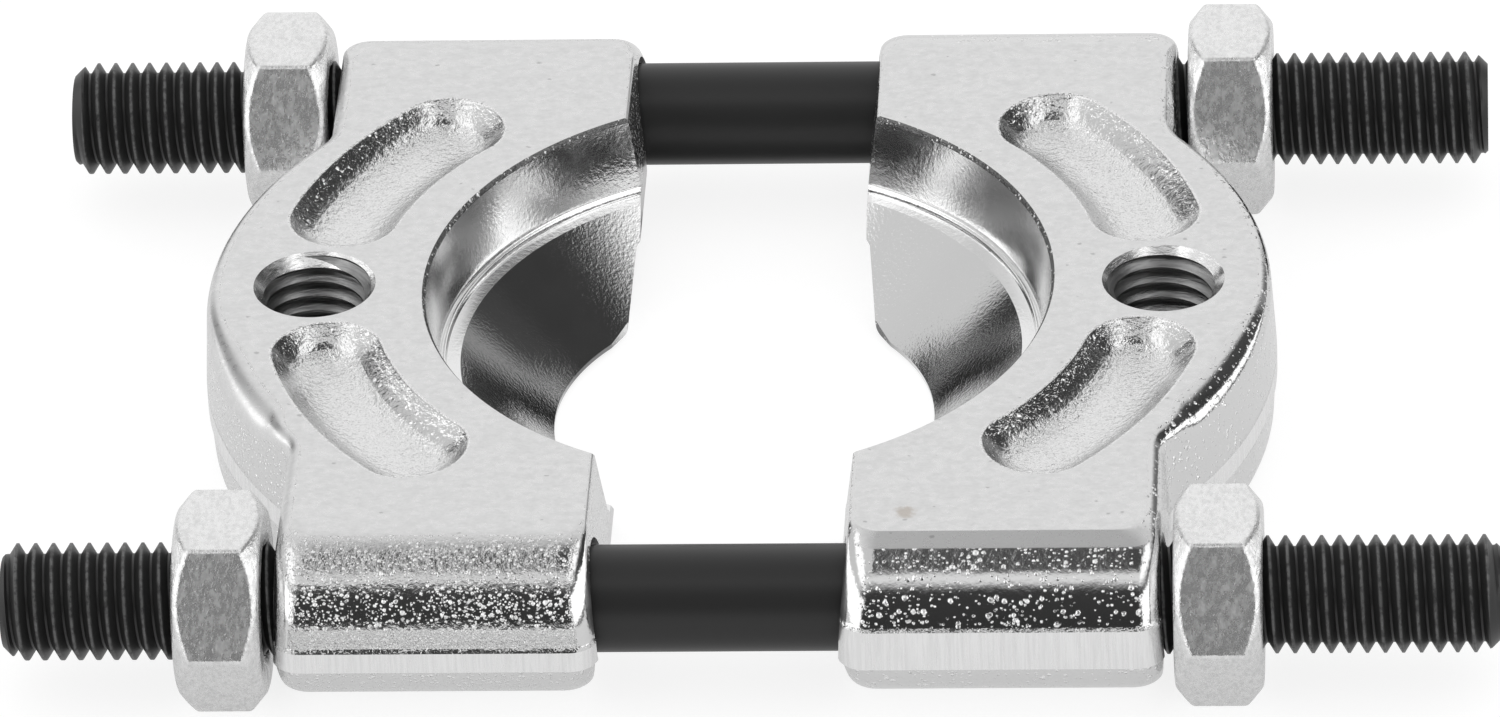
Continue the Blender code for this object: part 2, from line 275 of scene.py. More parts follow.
def painted_room(tree):
    """The grey that metal mirrors from each direction."""
    x, y, z = split(coordinates(tree, "Generated"))
    turn = calc("ARCTAN2", z, y)
    stops = [((angle + 180) / 360, grey) for angle, grey in ROOM_STOPS]
    room = ramp(turn * (0.5 / pi) + 0.5, stops)
    on_right = band(x, *RIGHT_BEGINS) * fade(z, *RIGHT_TOP)
    for share, stops in ((on_right, RIGHT_STOPS), (band(x, *LEFT_BEGINS), LEFT_STOPS)):
        room = room * (1.0 - share) + share * ramp(y, stops)

    in_gap = band(turn, *GAP_FROM, 0.0, PALE_GAP) * fade(turn, *GAP_TO)
    room = larger(room, in_gap * fade(x, *GAP_LEFT_OF))

    off_middle = abs(x)
    on_left = calc("LESS_THAN", x, 0.0)
    high_left = band(z, *HIGH_LEFT_FROM) * band(x, *HIGH_LEFT_BEGINS) * on_left
    high = larger(high_left, band(x * HIGH_TILT + z, *HIGH_FROM))
    room = larger(room, band(off_middle, *HIGH_BESIDE, 0.0, HIGH_LIGHT) * high)

    beside = y / off_middle
    toward_camera = calc("SUBTRACT", z, NEAR_TILT_FROM, clamp=True) * NEAR_TILT - beside
    behind = fade(beside * CONE_TILT + z, *BELOW_CONES) * fade(beside, *BEHIND)
    strip = larger(behind, band(toward_camera, *NEAR_EDGE)) * fade(toward_camera, *FAR_EDGE)
    tall = band(z, *SIDE_FOOT, 0.0, SIDE_LIGHT) * fade(z, *SIDE_TOP)
    return larger(room, strip * tall)


def light_the_room():
    """The world: white to the camera, plain to matt surfaces, the room to metal."""
    world = bpy.data.worlds.new("studio")
    world.use_nodes = True
    scene.world = world
    tree = world.node_tree
    tree.nodes.clear()
    metal = term(put(tree, "ShaderNodeBackground", {"Color": painted_room(tree)}))
    matt = term(put(tree, "ShaderNodeBackground", {"Color": WHITE, "Strength": MATT_LIGHT}))
    seen = term(put(tree, "ShaderNodeBackground", {"Color": WHITE}))
    ray = terms(put(tree, "ShaderNodeLightPath"))
    by_gloss = term(put(tree, "ShaderNodeMixShader", [ray["Is Glossy Ray"], matt, metal]))
    by_camera = term(put(tree, "ShaderNodeMixShader", [ray["Is Camera Ray"], by_gloss, seen]))
    put(tree, "ShaderNodeOutputWorld", [by_camera])


light_the_room()
print("the room has", len(ROOM_STOPS), "tones from back to front")

# %% The pale floor
FLOOR_REACH = 4.0
FLOOR_GREY = 0.28
FLOOR_SEEN = 0.80
FLOOR_MIRRORED = 0.56
FLOOR_ROUGHNESS = 0.9
STRIP_LIGHT = 1.1
STRIP_STOPS = [
    (-14, 0.66), (-10, 0.34), (-7.5, 0.05), (-4.0, 0.07), (-1.3, 0.80), (1.3, 1.0),
    (3.0, 0.24), (5.5, 0.05), (14, 0.03),
]
STRIP_SPAN = 28
STRIP_LEAN = 0.233
STRIP_MIDDLE = 0.0194
STRIP_SIDES = (0.017, 0.020)
STRIP_FRONT = (0.002, 0.005)
STRIP_BACK = (0.033, 0.036)


def between_jaws(tree):
    """The strips of the table that the turned seats mirror, seen through the gap."""
    x, y, z = split(coordinates(tree))
    across = y - (x * STRIP_LEAN + STRIP_MIDDLE)
    stops = [(mm / STRIP_SPAN + 0.5, grey) for mm, grey in STRIP_STOPS]
    strips = ramp(across * (1 / (STRIP_SPAN * MM)) + 0.5, stops) * STRIP_LIGHT
    inside = fade(abs(x), *STRIP_SIDES) * band(y, *STRIP_FRONT) * fade(y, *STRIP_BACK)
    return inside * strips + (1.0 - inside) * FLOOR_MIRRORED


def lay_floor():
    """A wide pale floor that brightens itself, but keeps a soft shadow."""
    made, tree, shader = metal("pale_floor", FLOOR_GREY, FLOOR_ROUGHNESS, 0.0)
    ray = terms(put(tree, "ShaderNodeLightPath"))
    seen = ray["Is Camera Ray"] * FLOOR_SEEN + ray["Is Glossy Ray"] * between_jaws(tree)
    fill(shader, {
        "Specular IOR Level": 0.0, "Emission Color": WHITE, "Emission Strength": seen,
    })
    mesh = bpy.data.meshes.new("floor")
    corners = [(-1, -1), (1, -1), (1, 1), (-1, 1)]
    points = [(x * FLOOR_REACH, y * FLOOR_REACH, 0.0) for x, y in corners]
    mesh.from_pydata(points, [], [(0, 1, 2, 3)])
    mesh.materials.append(made)
    floor = show("floor", mesh)


lay_floor()
scene.view_settings.view_transform = "Standard"
print("view transform:", scene.view_settings.view_transform)

# %% [markdown]
# ## Finishes
#
# Both jaws carry one bright plating, but the steel below it was left by different
# tools, and the plating repeats every mark.
#
# - The skin of the die is lumpy and pimpled, and coarser on the left jaw; painted highlights
#   lighten the pimples.
# - The pockets keep that skin on their floors and are smoother on their walls; the floors get a
#   lighter grey, painted light.
# - The ears' corners were rolled smooth by the die, and the crease above the
#   flash band stayed dull.
# - The top was ground, and the right jaw has a brown stain there.
# - The flash band was ground upright, so fine lines run up it.
# - The seat was turned, so its grain runs round the bore.
#
# A painted texture could show all this, but would blur close up and fit one piece
# only. So each kind of mark is a node group with its sizes in millimetres, and a
# material mixes them with its own values. The patterns read Object coordinates,
# which are metres on every piece here.

# %% Node groups for the marks
FINE = (3.0, 0.6)
COARSE = (1.0,)
PATCH_SCALE = 220.0
WAVE_SCALE = 120.0
CLOUD_SCALE = 1500.0
TURNED_CLOUD_SCALE = 300.0
DOT_RADIUS = 0.20
DOT_SPREAD = 0.26
DOT_SHOULDER = 1.3
PATCHES = (0.35, 0.65, 0.5, 1.3)
PIT_EDGE = (0.45, 0.9)
SMALL_PIMPLE_SIZE = 0.55
SMALL_PIMPLE_HEIGHT = 0.5
PIMPLE_WARP_SIZE = 0.35
PIT_WARP = (0.4, 0.18)
TURN_REACH = 0.0012


def open_socket(tree, label, kind="Float", side="INPUT"):
    """A named socket on a node group."""
    return tree.interface.new_socket(label, in_out=side, socket_type="NodeSocket" + kind)


def mark_group(name, inputs, outputs):
    """A shader group with named float inputs after a Vector, and float outputs."""
    tree = bpy.data.node_groups.new(name, "ShaderNodeTree")
    open_socket(tree, "Vector", "Vector")
    for label, default in inputs.items():
        open_socket(tree, label).default_value = default
    for label in outputs:
        open_socket(tree, label, side="OUTPUT")
    return tree, terms(put(tree, "NodeGroupInput")), put(tree, "NodeGroupOutput")


def noise(vector, scale, detail=2.0, roughness=0.5, output=0):
    """Noise from 0 to 1, as a value (output 0) or a colour (output 1)."""
    inputs = {"Vector": vector, "Scale": scale, "Detail": detail, "Roughness": roughness}
    return term(put(vector.tree, "ShaderNodeTexNoise", inputs), output)


def per_metre(size_mm):
    """A texture scale from a feature size in millimetres."""
    return 1000.0 / size_mm


def layer(given, kind, detail=FINE, vector=None):
    """The relief of one kind of mark, from the group's own size and height for it."""
    scale = per_metre(given[kind + " Size"])
    return noise(vector or given["Vector"], scale, *detail) * given[kind + " Height"]


def dots(vector, size_mm, share):
    """Round dots of uneven size, in a share of the cells."""
    inputs = {"Vector": vector, "Scale": per_metre(size_mm)}
    cells = terms(put(vector.tree, "ShaderNodeTexVoronoi", inputs))
    picks = put(vector.tree, "ShaderNodeSeparateColor", [cells["Color"]])
    chosen, spread = [Term(out) for out in picks.outputs][:2]
    near = cells["Distance"] / (spread * DOT_SPREAD + DOT_RADIUS)
    bead = calc("SUBTRACT", 1.0, calc("POWER", near, DOT_SHOULDER), clamp=True)
    return bead * calc("LESS_THAN", chosen, share)


def warped(vector, size_mm, reach_mm):
    """Coordinates pushed about by noise, so that cells lose their round shape."""
    def vector_node(operation, inputs):
        return term(put(vector.tree, "ShaderNodeVectorMath", inputs, operation=operation))

    shift = vector_node("SUBTRACT", [noise(vector, per_metre(size_mm), output=1), (0.5, 0.5, 0.5)])
    scaled = vector_node("SCALE", {0: shift, "Scale": reach_mm * (2 * MM)})
    return vector_node("ADD", [vector, scaled])


def cast_marks():
    """The die's skin: slow lumps, orange peel and raised pimples."""
    tree, given, out = mark_group("cast_marks", {
        "Lump Size": 4.0, "Lump Height": 0.03, "Peel Size": 0.5, "Peel Height": 0.03,
        "Pimple Size": 0.62, "Pimple Share": 0.6, "Pimple Height": 0.09, "Pimple Warp": 0.1,
    }, ["Height", "Pimples"])
    vector = given["Vector"]
    patches = noise(vector, PATCH_SCALE)
    share = given["Pimple Share"] * band(patches, *PATCHES)
    vector = warped(vector, PIMPLE_WARP_SIZE, given["Pimple Warp"])
    small = dots(vector, given["Pimple Size"] * SMALL_PIMPLE_SIZE, share)
    pimples = small * SMALL_PIMPLE_HEIGHT + dots(vector, given["Pimple Size"], share)
    height = layer(given, "Lump", COARSE) + layer(given, "Peel")
    height = pimples * given["Pimple Height"] + height
    fill(out, {"Height": height, "Pimples": pimples})
    return tree


def ground_marks():
    """A ground face: faint waves, a fine grain, and small dark pits."""
    tree, given, out = mark_group("ground_marks", {
        "Wave Height": 0.006, "Grain Size": 0.25, "Grain Height": 0.0015,
        "Pit Size": 0.9, "Pit Share": 0.10, "Pit Depth": 0.002,
    }, ["Height", "Pits", "Cloud", "Grain"])
    vector = given["Vector"]
    waves = noise(vector, WAVE_SCALE, *COARSE)
    grain = noise(vector, per_metre(given["Grain Size"]), *FINE)
    pits = dots(warped(vector, *PIT_WARP), given["Pit Size"], given["Pit Share"])
    pits = band(pits, *PIT_EDGE)
    cloud = noise(vector, CLOUD_SCALE, 3.0, 0.7)
    height = waves * given["Wave Height"] + grain * given["Grain Height"]
    height = height - pits * given["Pit Depth"]
    fill(out, {"Height": height, "Pits": pits, "Cloud": cloud, "Grain": grain})
    return tree


def turned_marks():
    """Turning marks: a grain that runs round the Z axis through the mapped origin."""
    tree, given, out = mark_group("turned_marks", {
        "Grain Size": 0.12, "Grain Height": 0.001, "Wave Size": 2.5, "Wave Height": 0.008,
        "Peel Size": 0.5, "Peel Height": 0.01,
    }, ["Height", "Cloud"])
    vector = given["Vector"]
    x, y, z = split(vector)
    reach = calc("SQRT", x * x + y * y)
    turn = calc("ARCTAN2", y, x) * TURN_REACH
    rolled = term(put(tree, "ShaderNodeCombineXYZ", [reach, turn, z]))
    height = layer(given, "Grain", vector=rolled) + layer(given, "Wave", COARSE)
    height = layer(given, "Peel") + height
    fill(out, {"Height": height, "Cloud": noise(vector, TURNED_CLOUD_SCALE, *FINE)})
    return tree


MARKS = {"cast": cast_marks(), "ground": ground_marks(), "turned": turned_marks()}
print("mark groups:", sorted(MARKS))

# %% A metal and its marks
PLATING = 0.74
NO_PIMPLES = (0.62, 0.0, 0.09)
PIMPLE_HIGHLIGHT_GREY = 0.97
CREST_ROUGHNESS = 0.28
PIMPLE_HIGHLIGHT_EDGE = (0.05, 0.45)
CLOUDS = (0.3, 0.7)
WORN_CLOUDS = (0.2, 0.8)
GRAIN_LINES = (0.38, 0.66)
WORN_SHARE = 0.66
STAIN_SCALE = 1600.0


def marked(name, grey, roughness, kind, metallic=1.0, centre=(0, 0, 0), stretch=(1, 1, 1), **sizes):
    """A metal that carries one kind of marks, centred and stretched by a Mapping node."""
    made, tree, shader = metal(name, grey, roughness, metallic)
    mapping = put(tree, "ShaderNodeMapping", {
        "Vector": coordinates(tree),
        "Location": [-c * s for c, s in zip(centre, stretch)],
        "Scale": stretch,
    })
    inputs = {label.replace("_", " "): value for label, value in sizes.items()}
    inputs["Vector"] = term(mapping)
    found = terms(put(tree, "ShaderNodeGroup", inputs, node_tree=MARKS[kind]))
    height = {"Strength": 1.0, "Distance": MM, "Height": found["Height"]}
    fill(shader, {"Normal": term(put(tree, "ShaderNodeBump", height))})
    return made, shader, found


def tint(shader, mask, light, dark):
    """Mixes two greys over the Base Color by a mask."""
    inputs = {"Factor": mask, "A": (light, light, light, 1.0), "B": (dark, dark, dark, 1.0)}
    mix = put(mask.tree, "ShaderNodeMix", inputs, data_type="RGBA")
    fill(shader, {"Base Color": term(mix, "Result")})


# %% The finishes of the jaws
def cast_finish(name, roughness, peel, pimples=NO_PIMPLES, warp=0.1, grey=PLATING):
    """Plating over the die's skin: peel (size, height), pimples (size, share, height), with a
    painted highlight on the pimples.
    """
    size, share, height = pimples
    made, shader, found = marked(
        name, grey, roughness, "cast", Peel_Size=peel[0], Peel_Height=peel[1],
        Pimple_Size=size, Pimple_Share=share, Pimple_Height=height, Pimple_Warp=warp)
    # The pimples get a near-white, glossier grey: a painted highlight, so that they read as bright
    # spots.
    painted_pimple_highlight = band(found["Pimples"], *PIMPLE_HIGHLIGHT_EDGE)
    tint(shader, painted_pimple_highlight, grey, PIMPLE_HIGHLIGHT_GREY)
    fill(shader, {"Roughness": band(painted_pimple_highlight, 0.0, 1.0, roughness, CREST_ROUGHNESS)})
    return made


def ground_finish(name, grey, roughness, stretch=(1, 1, 1), clouding=0.28, lining=0.0, **sizes):
    """Plating over a ground face: pits, clouds, and lines where the grain is stretched."""
    made, shader, found = marked(name, grey, roughness, "ground", stretch=stretch, **sizes)
    worn = band(found["Cloud"], *WORN_CLOUDS)
    worn = calc("MULTIPLY_ADD", worn, clouding, found["Pits"], clamp=True)
    worn = calc("MULTIPLY_ADD", band(found["Grain"], *GRAIN_LINES), lining, worn, clamp=True)
    tint(shader, worn, grey, grey * WORN_SHARE)
    low, high = roughness - 0.04, roughness + 0.05
    fill(shader, {"Roughness": band(found["Cloud"], *CLOUDS, low, high)})
    return made


def turned_finish(name, centre_x, grey, rough_low, rough_high, **sizes):
    """Plating over turning marks that run round a jaw's own seat."""
    centre = (centre_x, 0.0, 0.0)
    made, shader, found = marked(name, grey, rough_low, "turned", centre=centre, **sizes)
    fill(shader, {"Roughness": band(found["Cloud"], *CLOUDS, rough_low, rough_high)})
    return made


def stain(made, place_mm, radius_mm, colour):
    """A small stain at one place of a face."""
    shader = made.node_tree.nodes["Principled BSDF"]
    under = Term(shader.inputs["Base Color"].links[0].from_socket)
    here = coordinates(made.node_tree)
    place = [c * MM for c in place_mm]
    away = put(made.node_tree, "ShaderNodeVectorMath", [here, place], operation="DISTANCE")
    radius = radius_mm * MM
    ragged = noise(here, STAIN_SCALE) * radius + term(away, "Value")
    mask = band(ragged, 0.8 * radius, 1.5 * radius, 0.75, 0.0)
    inputs = {"Factor": mask, "A": under, "B": (*colour, 1.0)}
    mix = put(made.node_tree, "ShaderNodeMix", inputs, data_type="RGBA")
    fill(shader, {"Base Color": term(mix, "Result")})


# The pocket floors get a lighter grey than the walls: painted light on faces that look up.
pocket_floor_painted_light = cast_finish("pocket_floor_painted_light", 0.12, (0.5, 0.18), (0.62, 0.15, 0.05), grey=0.86)
pocket_wall = cast_finish("pocket_wall", 0.12, (0.6, 0.09), (0.5, 0.2, 0.06))
corner_skin = cast_finish("corner_skin", 0.12, (1.5, 0.04))
parting_crease = cast_finish("parting_crease", 0.20, (0.8, 0.22))
coarse_skin = cast_finish("coarse_skin", 0.16, (0.4, 0.38), (0.45, 0.9, 0.09))
# Near-black plating for the seat's mouth: a painted shade line along the edge.
mouth_painted_dark = cast_finish("mouth_painted_dark", 0.20, (0.4, 0.24), (0.5, 0.7, 0.04), grey=0.16)
cast_skin = {
    "jaw_left": cast_finish(
        "cast_skin_jaw_left", 0.14, (0.5, 0.045), (0.45, 1.0, 0.09), warp=0.12),
    "jaw_right": cast_finish(
        "cast_skin_jaw_right", 0.12, (0.9, 0.025), (0.62, 0.5, 0.09), warp=0.09),
}
ground_face = ground_finish(
    "ground_face", 0.81, 0.30, (0.8, 1.1, 1.0), 0.35,
    Wave_Height=0.003, Grain_Height=0.001, Pit_Depth=0.0)
ground_band = ground_finish(
    "ground_band", 0.93, 0.26, (1.0, 1.0, 0.05), 0.1, 0.22,
    Grain_Size=0.3, Grain_Height=0.006)
cut_thread = ground_finish(
    "cut_thread", 0.36, 0.30, (0.1, 0.1, 1.4), 0.1, 0.9, Grain_Size=0.2, Grain_Height=0.04)
turned_sink = ground_finish(
    "turned_sink", 0.95, 0.18, (0.4, 0.4, 1.0), Grain_Height=0.02, Pit_Share=0.05)
turned_wall = {}
turned_cone = {}
for jaw, centre_x in (("jaw_left", 0.001), ("jaw_right", -0.0052)):
    turned_wall[jaw] = turned_finish(
        "turned_wall_" + jaw, centre_x, 0.88, 0.09, 0.16,
        Wave_Height=0.007, Peel_Size=0.4, Peel_Height=0.016)
    turned_cone[jaw] = turned_finish(
        "turned_cone_" + jaw, centre_x, 0.79, 0.03, 0.09,
        Wave_Height=0.008, Peel_Size=0.3, Peel_Height=0.019)
stain(ground_face, (13.5, -35.9, 15.0), 1.2, (0.52, 0.47, 0.42))
print("jaw finishes:", pocket_floor_painted_light.name, ground_face.name, ground_band.name, "and more")


# %% The finish of the nuts and of the studs
OXIDE_GREY = 0.032
OXIDE_RUBBED = 0.15
CREST_FROM = (0.00470, 0.00492)
STUD_AXIS_Y = 0.0383
STUD_AXIS_Z = 0.008125


def zinc_finish():
    """Zinc on the nuts: satin, clouded, with fine pits."""
    made, shader, found = marked(
        "zinc_nut", 0.80, 0.36, "ground", 0.74, stretch=(1.0, 0.6, 0.6), Wave_Height=0.02,
        Grain_Size=0.3, Grain_Height=0.06, Pit_Size=0.4, Pit_Share=0.06)
    worn = band(found["Grain"], 0.35, 0.65) * band(found["Cloud"], 0.3, 0.6, 0.4, 1.0)
    tint(shader, worn, 0.90, 0.76)
    fill(shader, {"Roughness": band(found["Cloud"], *CLOUDS, 0.16, 0.38)})
    return made


def oxide_finish():
    """Black oxide on the studs, rubbed thinner on the crests of the threads."""
    made, shader, found = marked(
        "black_oxide", 0.035, 0.40, "ground", 0.35, Wave_Height=0.004,
        Grain_Size=0.2, Grain_Height=0.003, Pit_Size=0.7, Pit_Share=0.15)
    x, y, z = split(coordinates(made.node_tree))
    across = abs(y) - STUD_AXIS_Y
    up = z - STUD_AXIS_Z
    crest = band(calc("SQRT", across * across + up * up), *CREST_FROM)
    rubbed = crest * band(found["Cloud"], 0.35, 0.6, 0.15, 0.9)
    tint(shader, rubbed, OXIDE_GREY, OXIDE_RUBBED)
    return made


zinc_nut = zinc_finish()
black_oxide = oxide_finish()
print("hardware finishes:", zinc_nut.name, black_oxide.name)

# %% [markdown]
# ## The studs
#
# A rolled thread is one groove that winds round the bar. The mesh follows it:
# a grid whose rows slant along the thread, eight rows to the pitch, so that
# crest, flank and root each keep their own edge. The grid is rolled up, and its
# radius is a rule of how far along the pitch each row lies. Where one turn ends
# the next begins, so the seam closes by itself. Geometry Nodes do this well,
# because one tree with named sizes makes the studs and the taps of the jaws.

# %% Sizes of the studs
PITCH = 1.5
THREAD_RADIUS = 4.925
THREAD_DEPTH = 0.90
SHANK_RADIUS = 4.5
THREAD_LENGTH = 38.0
STUD_END_CHAMFER = 1.1
ROWS_PER_PITCH = 8
ROWS_BEFORE = 1.25 * ROWS_PER_PITCH
ROOT_FLAT = 0.125
FLANK = 0.75
RUN_OUT = (0.4, 1.2)
stud_low, stud_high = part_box("stud_front")
print("front stud is", round((stud_high[0] - stud_low[0]) * 1000, 2), "mm long")


# %% The tree that cuts a thread
ROD_LENGTHS = (
    "Length", "Thread Length", "Pitch", "Crest Radius", "Root Radius", "Shank Radius",
    "End Chamfer",
)
ROD_INPUTS = {
    **dict.fromkeys(ROD_LENGTHS, "Float"), "Segments": "Int", "Finish": "Material",
}


def thread_tree():
    """A rod along +X from the origin, threaded at both ends with a plain shank between."""
    tree = bpy.data.node_groups.new("threaded_rod", "GeometryNodeTree")
    for side in ("INPUT", "OUTPUT"):
        open_socket(tree, "Geometry", "Geometry", side)
    ids = {name: open_socket(tree, name, kind).identifier for name, kind in ROD_INPUTS.items()}
    given = terms(put(tree, "NodeGroupInput"))
    length, threaded_length, pitch, crest, root, shank, chamfer = map(given.get, ROD_LENGTHS)

    step = pitch / ROWS_PER_PITCH
    plain = larger(calc("FLOOR", (length - threaded_length * 2.0) / step) * step, 0.0)
    rows = calc("CEIL", (length - plain) / step + (ROWS_BEFORE + 3))
    grid = put(tree, "GeometryNodeMeshGrid", {
        "Size X": 1.0, "Size Y": 1.0, "Vertices X": rows, "Vertices Y": given["Segments"] + 1.0,
    })
    x, y, z = split(term(put(tree, "GeometryNodeInputPosition")))
    last_row = rows - 1.0
    row = calc("ROUND", (x + 0.5) * last_row)
    turn = y + 0.5
    angle = turn * (2 * pi)

    along = (row + (0.5 - ROWS_BEFORE)) * step
    along = calc("MULTIPLY_ADD", turn, pitch, along)
    past_thread = calc("GREATER_THAN", along, threaded_length)
    along = calc("MULTIPLY_ADD", past_thread, plain, along)
    along = calc("MINIMUM", larger(along, 0.0), length)

    phase = calc("FRACT", (row + 0.5) / ROWS_PER_PITCH)
    ridge = abs(phase - 0.5) * 2.0
    ridge = calc("DIVIDE", ridge - ROOT_FLAT, FLANK, clamp=True)
    threaded = calc("MULTIPLY_ADD", ridge, crest - root, root)
    from_end = calc("MINIMUM", along, length - along)
    run_out = (threaded_length - from_end) / pitch
    run_out = calc("DIVIDE", run_out - RUN_OUT[0], RUN_OUT[1], clamp=True)
    radius = threaded * run_out + shank * (1.0 - run_out)
    radius = calc("MINIMUM", radius, from_end + crest - chamfer)
    inside = calc("GREATER_THAN", row, 0.5) * calc("LESS_THAN", row, last_row - 0.5)
    radius = radius * inside

    place = put(tree, "ShaderNodeCombineXYZ", [
        along, radius * calc("COSINE", angle), radius * calc("SINE", angle),
    ])
    made = term(grid, "Mesh")
    for kind, inputs in (
        ("GeometryNodeSetPosition", {"Position": term(place)}),
        ("GeometryNodeMergeByDistance", {"Distance": 0.000005}),
        ("GeometryNodeRealizeInstances", {}),
        ("GeometryNodeSetMaterial", {"Material": given["Finish"]}),
    ):
        made = term(put(tree, kind, {"Geometry": made, **inputs}))
    put(tree, "NodeGroupOutput", [made])
    return tree, ids


rod_tree, rod_inputs = thread_tree()
print("the thread tree has", len(rod_tree.nodes), "nodes")


# %% Run a tree and keep its mesh
MERGE_REACH = 0.000001


def face_outward(mesh, merge=False):
    """Every face looks out of the solid; double points and empty faces may go first."""
    bm = bmesh.new()
    bm.from_mesh(mesh)
    if merge:
        bmesh.ops.remove_doubles(bm, verts=bm.verts, dist=MERGE_REACH)
        bmesh.ops.dissolve_degenerate(bm, edges=bm.edges, dist=MERGE_REACH)
    bmesh.ops.recalc_face_normals(bm, faces=bm.faces)
    bm.to_mesh(mesh)
    bm.free()


def clean(mesh, sharp_degrees):
    """Merged, outward and smooth, with real edges kept sharp."""
    face_outward(mesh, merge=True)
    mesh.shade_smooth()
    mesh.set_sharp_from_angle(angle=radians(sharp_degrees))


def settle(piece):
    """Applies a piece's modifiers to its mesh."""
    bpy.context.view_layer.update()
    graph = bpy.context.evaluated_depsgraph_get()
    result = bpy.data.meshes.new_from_object(piece.evaluated_get(graph))
    piece.modifiers.clear()
    spent = piece.data
    piece.data = result
    bpy.data.meshes.remove(spent)


def grow(name, values):
    """A plain mesh from the thread tree with these named inputs."""
    seed = show("seed", bpy.data.meshes.new("seed"))
    modifier = seed.modifiers.new("grow", "NODES")
    modifier.node_group = rod_tree
    for label, value in values.items():
        modifier[rod_inputs[label]] = value
    settle(seed)
    mesh = seed.data
    mesh.name = name
    bpy.data.objects.remove(seed, do_unlink=True)
    return mesh


# %% The two studs
def thread_stud(node, turn_degrees):
    """A threaded stud in the place of the plain one."""
    low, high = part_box(node)
    mesh = grow(node + "_threaded", {
        "Length": high[0] - low[0],
        "Thread Length": THREAD_LENGTH * MM,
        "Pitch": PITCH * MM,
        "Crest Radius": THREAD_RADIUS * MM,
        "Root Radius": (THREAD_RADIUS - THREAD_DEPTH) * MM,
        "Shank Radius": SHANK_RADIUS * MM,
        "End Chamfer": STUD_END_CHAMFER * MM,
        "Segments": 56,
        "Finish": black_oxide,
    })
    mesh.transform(Matrix.Rotation(radians(turn_degrees), 4, "X"))
    mesh.transform(Matrix.Translation((low[0], (low[1] + high[1]) / 2, (low[2] + high[2]) / 2)))
    clean(mesh, 32)
    stud = show(node + "_threaded", mesh)
    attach(stud, "studs")
    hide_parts(node)
    return stud


for node, turn_degrees in (("stud_front", 40.0), ("stud_back", 200.0)):
    stud = thread_stud(node, turn_degrees)
    print(stud.name, len(stud.data.polygons), "faces")

# %% [markdown]
# ## The jaws
#
# Each jaw is a forging: a half ring with two long round ears. It is built here
# as the part was, by a loft that is cut with solids, but with many more steps,
# so that the plating mirrors the room without facets. Every cutter carries the
# finish that its tool leaves, and the cut keeps it: the seat is turned, the
# pockets are cast and the hole is tapped.
#
# The two dies met at half height and squeezed out a thin flash, which was ground
# off. That left the upright band round the outline and a crease just above it.
# One ear was ground flatter than the other, down to a facet at its top. The top
# edge of the body is rolled wider over the half that faces front, so each jaw
# gets a forging of its own. A sculpted mesh could carry such marks too, but the
# loft keeps each of them as a named length.

# %% Sizes of the forging
JAW_THICKNESS = 14.6
JAW_GAP = 19.8
EAR_LENGTH = 27.3
EAR_CORNER_RADIUS = 2.4
BODY_RADIUS = 39.1
BODY_SET_BACK = 3.0
WAIST_FILLET = 4.0
FLASH_BAND = 2.0
TOP_EDGE_RADIUS = 1.3
BOTTOM_EDGE_RADIUS = 1.8
SIDE_DRAFT = 0.45
MATING_DRAFT = 1.0
MATING_EDGE_RADIUS = 0.35
STUD_Y = 38.3
STUD_HOLE_RADIUS = 5.5
JAWS_X = -2.1
JAW_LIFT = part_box("jaw_right")[0][2] / MM
MATING_X = JAW_GAP / 2
BOSS_RADIUS = JAW_THICKNESS / 2
print("the jaws hang", round(JAW_LIFT, 3), "mm above the floor")


# %% Solids from rings of points
def polar(radius, angle, x=0.0, y=0.0):
    """The point at a radius and an angle round (x, y)."""
    return x + radius * cos(angle), y + radius * sin(angle)


def solid(name, rings, finish):
    """A closed mesh through rings of equal count, capped at both ends."""
    count = len(rings[0])
    points = [(x * MM, y * MM, z * MM) for ring in rings for x, y, z in ring]
    faces = []
    for level in range(len(rings) - 1):
        low = level * count
        high = low + count
        for k in range(count):
            after = (k + 1) % count
            faces.append((low + k, low + after, high + after, high + k))
    faces.append(tuple(reversed(range(count))))
    faces.append(tuple(range(len(points) - count, len(points))))
    mesh = bpy.data.meshes.new(name)
    mesh.from_pydata(points, [], faces)
    face_outward(mesh)
    mesh.materials.append(finish)
    return show(name, mesh)


def turned(name, profile, segments, finish, axis="Z", place=(0.0, 0.0, 0.0)):
    """A solid of revolution from (radius, height) pairs."""
    rings = []
    for radius, height in profile:
        ring = []
        for k in range(segments):
            a, b = polar(radius, pi * (2 * k + 1) / segments)
            x, y, z = (a, b, height) if axis == "Z" else (height, a, b)
            ring.append((x + place[0], y + place[1], z + place[2]))
        rings.append(ring)
    return solid(name, rings, finish)


def bore_profile(radius, chamfer, near, far):
    """A hole from near to far, chamfered at both mouths and cut 1 mm over."""
    wide = radius + chamfer + 1.0
    return [
        (wide, near - 1.0), (radius, near + chamfer), (radius, far - chamfer), (wide, far + 1.0),
    ]


def cut(target, cutter, operation="DIFFERENCE"):
    """Applies a Boolean that keeps the cutter's own finish on the cut."""
    modifier = target.modifiers.new("cut", "BOOLEAN")
    modifier.operation = operation
    modifier.solver = "EXACT"
    modifier.material_mode = "TRANSFER"
    modifier.object = cutter
    settle(target)
    bpy.data.objects.remove(cutter, do_unlink=True)


